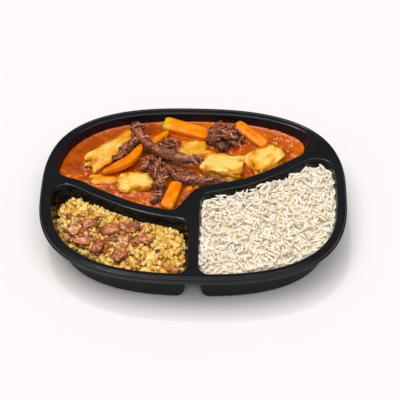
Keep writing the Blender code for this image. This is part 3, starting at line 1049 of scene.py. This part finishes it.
def block(
    node, name, look, size, turn, squareness, taper, relief, cuts=22, bend=0.0, tone=None
):
    """A cut piece: a rounded block in its CAD node's place, shaped by relief(unit) and bent.

    Its tone is tone(unit, facing), where facing is 1 for a side that looks up.
    """
    data = block_mesh(name, cuts)
    units = [vert.co.copy() for vert in data.vertices]
    low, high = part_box(node)
    middle = (low + high) / 2
    half = Vector(size) * MM / 2
    spin = turned(turn)
    for vert in data.vertices:
        unit = vert.co.copy()
        reach = sum(abs(part) ** squareness for part in unit) ** (1 / squareness)
        unit /= reach
        grown = unit * (1 + relief(unit))
        width = 1 - taper * unit.x
        local = Vector((grown.x * half.x, grown.y * half.y * width, grown.z * half.z))
        local.z -= bend * MM * (grown.x**2 - 0.4)
        vert.co = middle + spin @ local
    data.update()
    # By default the tone is the facing: painted light on the top and painted shade on the sides.
    tone = tone or (lambda unit, facing: facing)
    tones = [clamped(tone(unit, v.normal.z)) for unit, v in zip(units, data.vertices)]
    return piece(name, data, look, [node], tone=tones)


def knobbly(seed, broad, fine):
    """Relief as a share of the size: broad dents and finer pits."""
    shift = Vector((seed * 3.7, seed * 1.3, seed * 2.1))

    def relief(unit):
        dents = noise.fractal(unit * 1.4 + shift, 1.0, 2.0, 2)
        pits = noise.fractal(unit * 5.5 + shift, 1.0, 2.0, 3)
        return broad * dents + fine * pits

    return relief


def top_lit_and_browned(seed):
    """A tone for potato: 1 on top and less on the sides, painted light and shade, and less again on
    brown patches of the edges.
    """
    shift = Vector((seed * 1.9, seed * 2.3, seed * 0.8))

    def tone(unit, facing):
        edge = clamped((sorted(abs(part) for part in unit)[1] - 0.5) / 0.45)
        patch = clamped(0.35 + 2.6 * noise.noise(unit * 1.2 + shift))
        return 0.1 + 0.9 * facing - 1.1 * edge * patch

    return tone


def scalloped(seed):
    """A slab whose upper side has grooves across it, as from a ridged knife."""
    dented = knobbly(seed, 0.09, 0.05)

    def relief(unit):
        ridge = 0.045 * math.cos(unit.x * 7.5 + 0.6 * unit.y)
        return dented(unit) + (ridge if unit.z > 0 else 0.0)

    return relief


# Each chunk: its node, size, turn, squareness, taper and relief, and how pale its flesh is.
POTATOES = [
    ("potato_long", (55, 18, 17), (47, 3, 12), 6.0, 0.08, knobbly(2, 0.16, 0.09), 0.32),
    ("potato_front", (31, 21, 17), (4, 0, -8), 5.5, 0.1, knobbly(3, 0.16, 0.1), 0.82),
    ("potato_middle", (35, 26, 16), (-8, 3, -14), 8.0, 0.05, scalloped(4), 1.0),
    ("potato_back", (25, 24, 17), (3, 0, -12), 6.0, 0.0, knobbly(5, 0.14, 0.07), 0.35),
    ("potato_right", (34, 26, 17), (38, -4, -6), 4.5, 0.12, knobbly(6, 0.14, 0.05), 0.62),
    ("potato_flat", (28, 11, 8), (-4, 2, 0), 3.0, 0.1, knobbly(7, 0.18, 0.05), -0.25),
]
CARROTS = [
    ("carrot_back", (41, 13, 12), (-15, 5, 6), 6.0, 0.06),
    ("carrot_right", (34, 10, 9), (-42, 4, 8), 6.0, 0.05),
    ("carrot_front", (28, 11, 10), (72, -4, 4), 6.5, 0.06),
    ("carrot_sliver", (21, 6, 6), (44, 0, 10), 3.0, 0.1),
    ("carrot_chip", (12, 5, 5), (24, 0, 0), 3.0, 0.1),
]


def make_potatoes():
    made = []
    for number, (node, size, turn, squareness, taper, relief, paleness) in enumerate(POTATOES):
        look = potato_look(node, paleness)
        name = f"chunk_{node}"
        made.append(
            block(
                node, name, look, size, turn, squareness, taper, relief,
                tone=top_lit_and_browned(number + 1),
            )
        )
    return made


def plain(unit, facing):
    return 0.0


def yellow_end(unit, facing):
    """The core shows at the baton's left end and along the lower part of that end."""
    return 2.4 * (-0.66 - unit.x) + 1.8 * max(0.0, 0.4 - unit.z) * max(0.0, 0.1 - unit.x)


def make_carrots():
    look = carrot_look()
    made = []
    for number, (node, size, turn, squareness, taper) in enumerate(CARROTS):
        relief = knobbly(30 + number, 0.05, 0.015)
        name = f"baton_{node}"
        made.append(
            block(
                node, name, look, size, turn, squareness, taper, relief, 16, 0.0,
                yellow_end if node == "carrot_back" else plain,
            )
        )
    made.append(make_carrot_slice(look))
    return made


def in_box(node, share):
    """A point given as shares of the CAD node's box."""
    low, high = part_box(node)
    return [low[k] + share[k] * (high[k] - low[k]) for k in range(3)]


def make_carrot_slice(look):
    """A half-moon slice: a flat crescent, thick in the middle and pointed at both ends."""
    node = "carrot_slice"
    stations = [
        (0.95, 0.98, 0.5, 0.2),
        (0.9, 0.74, 0.66, 0.85),
        (0.7, 0.42, 0.7, 1.12),
        (0.38, 0.21, 0.6, 1.0),
        (0.03, 0.05, 0.4, 0.3),
    ]
    route = [(*in_box(node, station[:3]), station[3]) for station in stations]
    line = smooth_line(route, 14)
    sides = 20
    points, faces = [], []
    for k, (x, y, z, girth) in enumerate(line):
        before, after = line[max(k - 1, 0)], line[min(k + 1, len(line) - 1)]
        along = Vector(after[:3] - before[:3]).normalized()
        across = along.cross(Vector((0, 0.25, 1))).normalized()
        up = across.cross(along)
        for step in range(sides):
            angle = 2 * math.pi * step / sides
            square = 1 / (abs(math.cos(angle)) ** 4 + abs(math.sin(angle)) ** 4) ** 0.25
            way = across * math.cos(angle) * 4.1 * girth + up * math.sin(angle) * 3.0 * girth**0.6
            points.append(Vector((x, y, z)) + way * square * MM)
        if k:
            faces.append(band_faces((k - 1) * sides, k * sides, sides))
    quads = np.vstack(faces)
    faces = np.vstack([quads[:, [0, 1, 2]], quads[:, [0, 2, 3]]])
    ends = []
    for first in (0, (len(line) - 1) * sides):
        middle = sum((points[first + s] for s in range(sides)), Vector()) / sides
        points.append(middle)
        here = np.arange(sides)
        centre = 0 * here + len(points) - 1
        ends.append(np.stack([centre, first + here, first + (here + 1) % sides], 1))
    data = outward(mesh_of("crescent_slice", points, np.vstack([faces, *ends])))
    tone = np.zeros(len(data.vertices))
    return piece("crescent_slice", data, look, [node], tone=tone)


# ---------------------------------------------------------------- meat


def tube(line, radii, sides, flat=1.0):
    """A closed tube along a line of points, as points and triangles."""
    line = np.asarray(line)
    along = np.gradient(line, axis=0)
    along /= np.linalg.norm(along, axis=1, keepdims=True) + 1e-12
    across = np.cross(along, (0.13, 0.21, 1.0))
    across /= np.linalg.norm(across, axis=1, keepdims=True) + 1e-12
    up = np.cross(across, along)
    angle = np.arange(sides) * 2 * math.pi / sides
    ring = (
        across[:, None] * np.cos(angle)[None, :, None]
        + flat * up[:, None] * np.sin(angle)[None, :, None]
    )
    body = (line[:, None] + ring * np.asarray(radii)[:, None, None]).reshape(-1, 3)
    quads = np.vstack([band_faces(k * sides, (k + 1) * sides, sides) for k in range(len(line) - 1)])
    faces = np.vstack([quads[:, [0, 1, 2]], quads[:, [0, 2, 3]]])
    here = np.arange(sides)
    after = (here + 1) % sides
    first, last = len(body), len(body) + 1
    body = np.vstack([body, line[:1], line[-1:]])
    end = (len(line) - 1) * sides
    faces = np.vstack(
        [
            faces,
            np.stack([0 * here + first, here, after], 1),
            np.stack([0 * here + last, end + after, end + here], 1),
        ]
    )
    return body, faces


def wander(length, chance, step):
    """A smooth random walk of three coordinates about zero."""
    knots = np.array([[chance.gauss(0, step) for _ in range(3)] for _ in range(5)])
    at = np.linspace(0, 4, length)
    return np.stack([np.interp(at, np.arange(5), knots[:, k]) for k in range(3)], 1)


def spindle(length, girth):
    """Radii that taper to both ends."""
    share = np.linspace(0, 1, length)
    return girth * np.clip(8 * share * (1 - share), 0.15, 1) ** 0.6


def bundle(route, count, lengths, fibre, chance, stray=0.4):
    """Torn fibres that lie along a route of (x, y, z, radius), each a share of its length."""
    line = smooth_line(route, 10)
    along = np.gradient(line[:, :3], axis=0)
    along /= np.linalg.norm(along, axis=1, keepdims=True) + 1e-12
    across = np.cross(along, (0, 0, 1.0))
    across /= np.linalg.norm(across, axis=1, keepdims=True) + 1e-12
    up = np.cross(across, along)
    parts = []
    for _ in range(count):
        size = max(7, int(chance.uniform(*lengths) * len(line)))
        first = chance.randint(-2, max(0, len(line) - size + 2))
        at = np.clip(np.arange(first, first + size), 0, len(line) - 1)
        at = np.unique(at)
        if len(at) < 6:
            continue
        angle = chance.uniform(-0.5, math.pi + 0.5) + np.linspace(0, chance.gauss(0, 0.7), len(at))
        radius = line[at, 3] * chance.uniform(0.75, 1.05)
        path = line[at, :3] + across[at] * (radius * np.cos(angle))[:, None]
        path = path + up[at] * (radius * 0.75 * np.sin(angle))[:, None]
        path = path + wander(len(at), chance, stray * MM)
        girth = spindle(len(at), fibre * chance.uniform(0.6, 1.4) * MM)
        body, faces = tube(path, girth, 6, chance.uniform(0.5, 1.0))
        # Fibres round the route's upper side get a lighter tone: painted light.
        lit_upper_side = clamped(float(np.sin(angle).mean()))
        parts.append((body, faces, clamped(0.05 + 0.45 * lit_upper_side + 0.5 * chance.random())))
    return parts


def tangle(centre, chance, longest=8.0):
    """A short twist of torn fibres lying across a point."""
    angle = chance.uniform(0, math.pi)
    span = chance.uniform(3.5, longest) * MM
    way = Vector((math.cos(angle), math.sin(angle), chance.gauss(0, 0.25))) * span
    bow = Vector((-way.y, way.x, 0)) * chance.gauss(0, 0.35) + Vector((0, 0, 0.8 * MM))
    route = [
        (*(centre - way), 1.0 * MM),
        (*(centre + bow), 1.7 * MM),
        (*(centre + way), 0.9 * MM),
    ]
    return bundle(route, 6, (0.6, 1.0), 0.55, chance, 0.4)


def lumpy_core(line, radii):
    body, faces = tube(line, radii, 14, 0.75)
    body = np.array([Vector(p) + 0.5 * MM * noise.noise_vector(Vector(p) / (3 * MM)) for p in body])
    # The core under the fibres gets a dark tone: painted shade between the fibres.
    return body, faces, 0.15


def joined(name, parts, look, replaces=()):
    points = np.vstack([part[0] for part in parts])
    tones = np.concatenate([np.full(len(part[0]), part[2]) for part in parts])
    faces, start = [], 0
    for body, part_faces, _ in parts:
        faces.append(part_faces + start)
        start += len(body)
    data = outward(mesh_of(name, points, np.vstack(faces)))
    return piece(name, data, look, replaces, tone=tones)


def routed(node, stations):
    """A route whose stations are shares of the node's box, and a radius in millimetres."""
    return [(*in_box(node, station[:3]), station[3] * MM) for station in stations]


# Each strip's stations: shares of its node's box, and a radius in millimetres.
STRIPS = {
    "meat_long": [
        (0.07, 0.93, 0.36, 5.0),
        (0.12, 0.8, 0.42, 4.4),
        (0.2, 0.58, 0.5, 3.4),
        (0.32, 0.36, 0.58, 3.8),
        (0.5, 0.2, 0.7, 4.0),
        (0.74, 0.1, 0.72, 3.4),
        (0.98, 0.08, 0.7, 1.6),
    ],
    "meat_low": [
        (0.03, 0.75, 0.5, 3.8),
        (0.32, 0.45, 0.5, 3.6),
        (0.66, 0.28, 0.5, 3.2),
        (0.97, 0.42, 0.4, 1.6),
    ],
    "meat_front": [
        (0.08, 0.86, 0.5, 3.4),
        (0.5, 0.82, 0.6, 4.6),
        (0.78, 0.6, 0.55, 4.0),
        (0.8, 0.3, 0.4, 3.2),
        (0.72, 0.05, 0.25, 2.2),
    ],
    "meat_side": [(0.9, 0.95, 0.5, 2.4), (0.55, 0.55, 0.6, 3.0), (0.05, 0.04, 0.4, 2.4)],
}
# How many torn tangles lie on each strip, and how many make up each cluster.
RAGGED = {"meat_long": 5, "meat_low": 9, "meat_front": 34, "meat_side": 8}
CLUSTERS = {"meat_back": 60, "meat_middle": 34}


def make_meat():
    look = meat_look()
    chance = random.Random(23)
    made = []
    for node, stations in STRIPS.items():
        route = routed(node, stations)
        line = smooth_line(route, 8)
        parts = [lumpy_core(line[:, :3], line[:, 3] * 0.78)]
        parts += bundle(route, 90, (0.25, 0.7), 0.6, chance, 0.5)
        parts += bundle(route, 40, (0.15, 0.45), 0.36, chance, 1.3)
        for _ in range(RAGGED[node]):
            x, y, z, radius = line[chance.randrange(len(line))]
            side = chance.uniform(-1, 1) * radius
            centre = Vector((x + side, y + chance.uniform(-1, 1) * radius, z))
            crown = 0.7 * math.sqrt(max(radius**2 - side**2, 0))
            centre.z += crown + chance.uniform(-0.5, 0.6) * MM
            parts += tangle(centre, chance, 6.0)
        made.append(joined(f"shreds_{node}", parts, look, [node]))
    for node, count in CLUSTERS.items():
        low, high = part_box(node)
        middle, half = (low + high) / 2, (high - low) / 2
        shape, faces = ball(5, 2, 0.5)
        core = shape * np.array(half) * (0.82, 0.82, 0.78) + np.array(middle) - (0, 0, 1.5 * MM)
        # The cluster's core under the tangles gets a dark tone: painted shade between the fibres.
        parts = [(core, faces, 0.2)]
        for _ in range(count):
            reach = 0.75 * chance.random() ** 0.5
            where = chance.uniform(0, 2 * math.pi)
            x = middle.x + half.x * reach * math.cos(where)
            y = middle.y + half.y * reach * math.sin(where)
            z = high.z - (2.2 + 10 * reach**2 + chance.uniform(0, 1.6)) * MM
            parts += tangle(Vector((x, y, z)), chance)
        made.append(joined(f"shreds_{node}", parts, look, [node]))
    return made


class Surface:
    """The top of the stew: what stands in the sauce, or else the sauce itself."""

    def __init__(self, pieces):
        self.tree = tree_of(pieces)

    def height(self, x, y):
        place, _, _, _ = self.tree.ray_cast(Vector((x, y, FLANGE_Z + 0.02)), Vector((0, 0, -1)))
        return SAUCE_Z if place is None else max(SAUCE_Z, place.z)


# Where loose tangles lie, in millimetres: centre, spread along X and Y, and count.
TUFT_BEDS = [
    (-36, 24, 7, 5, 14),
    (-30, 8, 3.5, 8, 9),
    (-27, 31, 8, 4, 22),
    (-10, 28, 10, 3, 26),
    (6, 23, 8, 2.5, 16),
    (30, 13, 9, 2, 8),
    (-56, 42, 6, 7, 6),
    (-18, 50, 6, 7, 8),
    (22, 64, 11, 8, 8),
    (50, 36, 3, 6, 6),
]


# Offsets in millimetres round a tangle's centre, where no bare piece may stand.
TANGLE_ROOM = [(0, 0), (3, 0), (-3, 0), (0, 3), (0, -3)]


def make_loose_shreds(surface, bare, strip):
    """Small tangles of torn meat on the stew, none of them on the bare pieces or the strip."""
    chance = random.Random(77)
    parts = []
    for middle_x, middle_y, wide, deep, count in TUFT_BEDS:
        for _ in range(count):
            x, y = chance.gauss(middle_x, wide) * MM, chance.gauss(middle_y, deep) * MM
            sides = [(x + dx * MM, y + dy * MM) for dx, dy in TANGLE_ROOM]
            if strip.height(x, y) > SAUCE_Z + 0.5 * MM:
                continue
            if any(bare.height(*side) > SAUCE_Z + 0.5 * MM for side in sides):
                continue
            if STEW_POD.clear(x, y) > 9 * MM:
                z = surface.height(x, y) + chance.uniform(0.2, 1.2) * MM
                parts += tangle(Vector((x, y, z)), chance, 5.5)
    joined("loose_shreds", parts, meat_look())


# Where pulp gathers in the sauce, in millimetres: centre, spread and count.
PULP_BEDS = [
    (-70, 3, 11, 4, 46),
    (-42, -9, 12, 5, 46),
    (78, 62, 9, 5, 34),
    (58, 67, 8, 4, 26),
    (-86, 30, 8, 10, 16),
    (0, 6, 10, 5, 20),
    (-20, 30, 26, 18, 60),
]


def make_pulp():
    """Bits of tomato and onion pulp floating in the sauce."""
    chance = random.Random(19)
    places = []
    for x, y, wide, deep, count in PULP_BEDS:
        for _ in range(count):
            spot = (chance.gauss(x, wide) * MM, chance.gauss(y, deep) * MM)
            if STEW_POD.clear(*spot) > 6 * MM:
                size = (1.2 + 3.2 * chance.random() ** 2) * MM
                places.append((*spot, SAUCE_Z - 0.18 * size, size, chance.random()))
    shapes = [ball(2, 80 + k, 0.9) for k in range(10)]
    points, faces, tone = scatter(places, shapes, chance)
    look = Look("tomato_pulp", 0.08, Specular_IOR_Level=0.6)
    cloud = look.noise(2 * MM, 3)
    look.colour(
        look.ramp(
            toned(look, 0.6, cloud, 0.5),
            (0.3, (0.5, 0.075, 0.002)),
            (0.6, (0.72, 0.16, 0.008)),
            (0.9, (0.92, 0.42, 0.14)),
        )
    )
    look.bump(cloud, 0.4 * MM, 0.6)
    data = mesh_of("sauce_pulp", points, faces)
    piece("sauce_pulp", data, look.material, tone=tone)


# ---------------------------------------------------------------- bacon and small bits


# Each bacon piece: its size, its turn, how far its ends curl down, and how pale it is.
BACON = {
    "bacon_1": ((14, 9, 7), 20, 1.5, 0.45),
    "bacon_2": ((10, 8, 6), -35, -1.0, 0.7),
    "bacon_3": ((15, 10, 7), 10, 2.0, 0.5),
    "bacon_4": ((12, 8, 6), 50, -1.5, 0.2),
    "bacon_5": ((13, 8, 6), -25, 1.0, 0.6),
    "bacon_6": ((13, 8, 6), 65, 1.5, 0.35),
    "bacon_7": ((12, 7, 6), -10, -1.0, 0.55),
    "bacon_8": ((12, 9, 6), 30, 1.0, 0.4),
    "bacon_9": ((11, 7, 6), -60, 1.0, 0.75),
}


def make_bacon():
    look = bacon_look()
    for number, (node, (size, yaw, bend, tone)) in enumerate(BACON.items()):
        relief = knobbly(50 + number, 0.3, 0.1)

        # Lighter where the piece faces up and darker on its sides: painted light and shade, on top
        # of its own paleness.
        def shade(unit, facing, tone=tone):
            return tone + 0.55 * (facing - 0.75)

        block(
            node, f"bit_{node}", look, size, (yaw, 0, 0), 5.0, 0.12, relief, 14,
            bend, shade,
        )


def chip(seed):
    """An angular fried bit of about radius 1, as points and faces."""
    data = block_mesh("chip", 4)
    mesh = bmesh.new()
    mesh.from_mesh(data)
    bmesh.ops.triangulate(mesh, faces=mesh.faces)
    shift = Vector((seed * 1.7, seed * 2.9, seed * 0.6))
    points = []
    for vert in mesh.verts:
        reach = sum(abs(part) ** 5 for part in vert.co) ** 0.2
        unit = vert.co / reach
        grown = unit * (1 + 0.55 * noise.noise(unit * 1.1 + shift))
        points.append((grown.x * 1.25, grown.y * 0.85, grown.z * 0.6))
    faces = [[vert.index for vert in face.verts] for face in mesh.faces]
    mesh.free()
    bpy.data.meshes.remove(data)
    return np.array(points), np.array(faces)


def make_bacon_bits():
    """Small fried bits gathered round the larger bacon pieces, and one by the post."""
    chance = random.Random(41)
    middles = [(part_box(node)[0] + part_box(node)[1]) / 2 for node in BACON]
    places = []
    while len(places) < 120:
        centre = chance.choice(middles)
        x, y = centre.x + chance.gauss(0, 6.5 * MM), centre.y + chance.gauss(0, 5 * MM)
        if CRUMBS_HEAP.share(x, y)[0] > 0.93:
            continue
        size = chance.uniform(1.8, 5.0) * MM
        height = CRUMBS_HEAP.height(x, y) + 0.2 * size
        places.append((x, y, height, size, chance.uniform(0.1, 1.0)))
    for x, y, size in ((-14, -80, 6.5), (-101, -28, 5.5), (-84, -26, 4.5)):
        x, y, size = x * MM, y * MM, size * MM
        height = CRUMBS_HEAP.height(x, y)
        if height is not None:
            places.append((x, y, height + 0.2 * size, size, 0.6))
    points, faces, tone = scatter(places, [chip(k) for k in range(9)], chance)
    data = outward(mesh_of("bacon_bits", points, faces))
    piece("bacon_bits", data, bacon_look(), tone=tone)


# ---------------------------------------------------------------- room, lights and camera


def make_floor():
    look = Look("floor_paper", 0.85)
    cloud = look.noise(0.2, 2)
    look.colour(look.ramp(cloud, (0.3, (0.9, 0.868, 0.86)), (0.7, (0.905, 0.873, 0.865))))
    data = bpy.data.meshes.new("floor")
    mesh = bmesh.new()
    bmesh.ops.create_grid(mesh, x_segments=1, y_segments=1, size=3.0)
    mesh.to_mesh(data)
    mesh.free()
    data.materials.append(look.material)
    floor = bpy.data.objects.new("floor", data)
    bpy.context.scene.collection.objects.link(floor)


def sun(name, way, strength, spread, colour=(1, 1, 1)):
    """Even light from the direction way, over a disc of sky this many degrees across."""
    lamp = bpy.data.lights.new(name, "SUN")
    lamp.energy = strength
    lamp.angle = math.radians(spread)
    lamp.color = colour
    made = bpy.data.objects.new(name, lamp)
    made.rotation_euler = Vector(way).to_track_quat("Z", "Y").to_euler()
    bpy.context.scene.collection.objects.link(made)


def make_lights():
    sun("key", (-0.3, 0.02, 0.95), 0.72, 36)
    sun("spark", (-0.15, 0.3, 0.94), 0.42, 5)
    sun("fill", (0.03, -0.25, 0.97), 2.08, 66)
    world = bpy.data.worlds.new("studio")
    world.use_nodes = True
    background = world.node_tree.nodes["Background"]
    background.inputs["Color"].default_value = (1.0, 0.99, 0.98, 1)
    background.inputs["Strength"].default_value = 0.12
    bpy.context.scene.world = world


def make_camera():
    """Looks down on the tray from the front at 51 degrees, nine half-lengths away."""
    elevation, swing = math.radians(51), math.radians(1.57)
    away = 9.0 * HALF_LENGTH
    back = Vector(
        (
            math.sin(swing) * math.cos(elevation),
            -math.cos(swing) * math.cos(elevation),
            math.sin(elevation),
        )
    )
    right = Vector((math.cos(swing), math.sin(swing), 0))
    up = back.cross(right)
    place = back * away + right * 0.043 * HALF_LENGTH - up * 0.0675 * HALF_LENGTH
    lens = bpy.data.cameras.new("camera")
    lens.sensor_width = 36
    lens.lens = 36 * 3.42
    camera = bpy.data.objects.new("camera", lens)
    camera.matrix_world = Matrix.Translation(place + Vector((0, 0, FLANGE_Z))) @ (
        Matrix((right, up, back)).transposed().to_4x4()
    )
    bpy.context.scene.collection.objects.link(camera)
    bpy.context.scene.camera = camera


def main():
    make_camera()
    make_lights()
    make_floor()
    make_tray()
    bare = make_potatoes() + make_carrots()
    meat = make_meat()
    make_sauce(bare + meat)
    make_loose_shreds(Surface(bare + meat), Surface(bare), Surface(meat[:1]))
    make_pulp()
    make_rice_core()
    make_grains()
    make_crumb_core()
    make_crumbs()
    make_bacon()
    make_bacon_bits()
    bpy.context.scene.view_settings.view_transform = "Standard"


main()
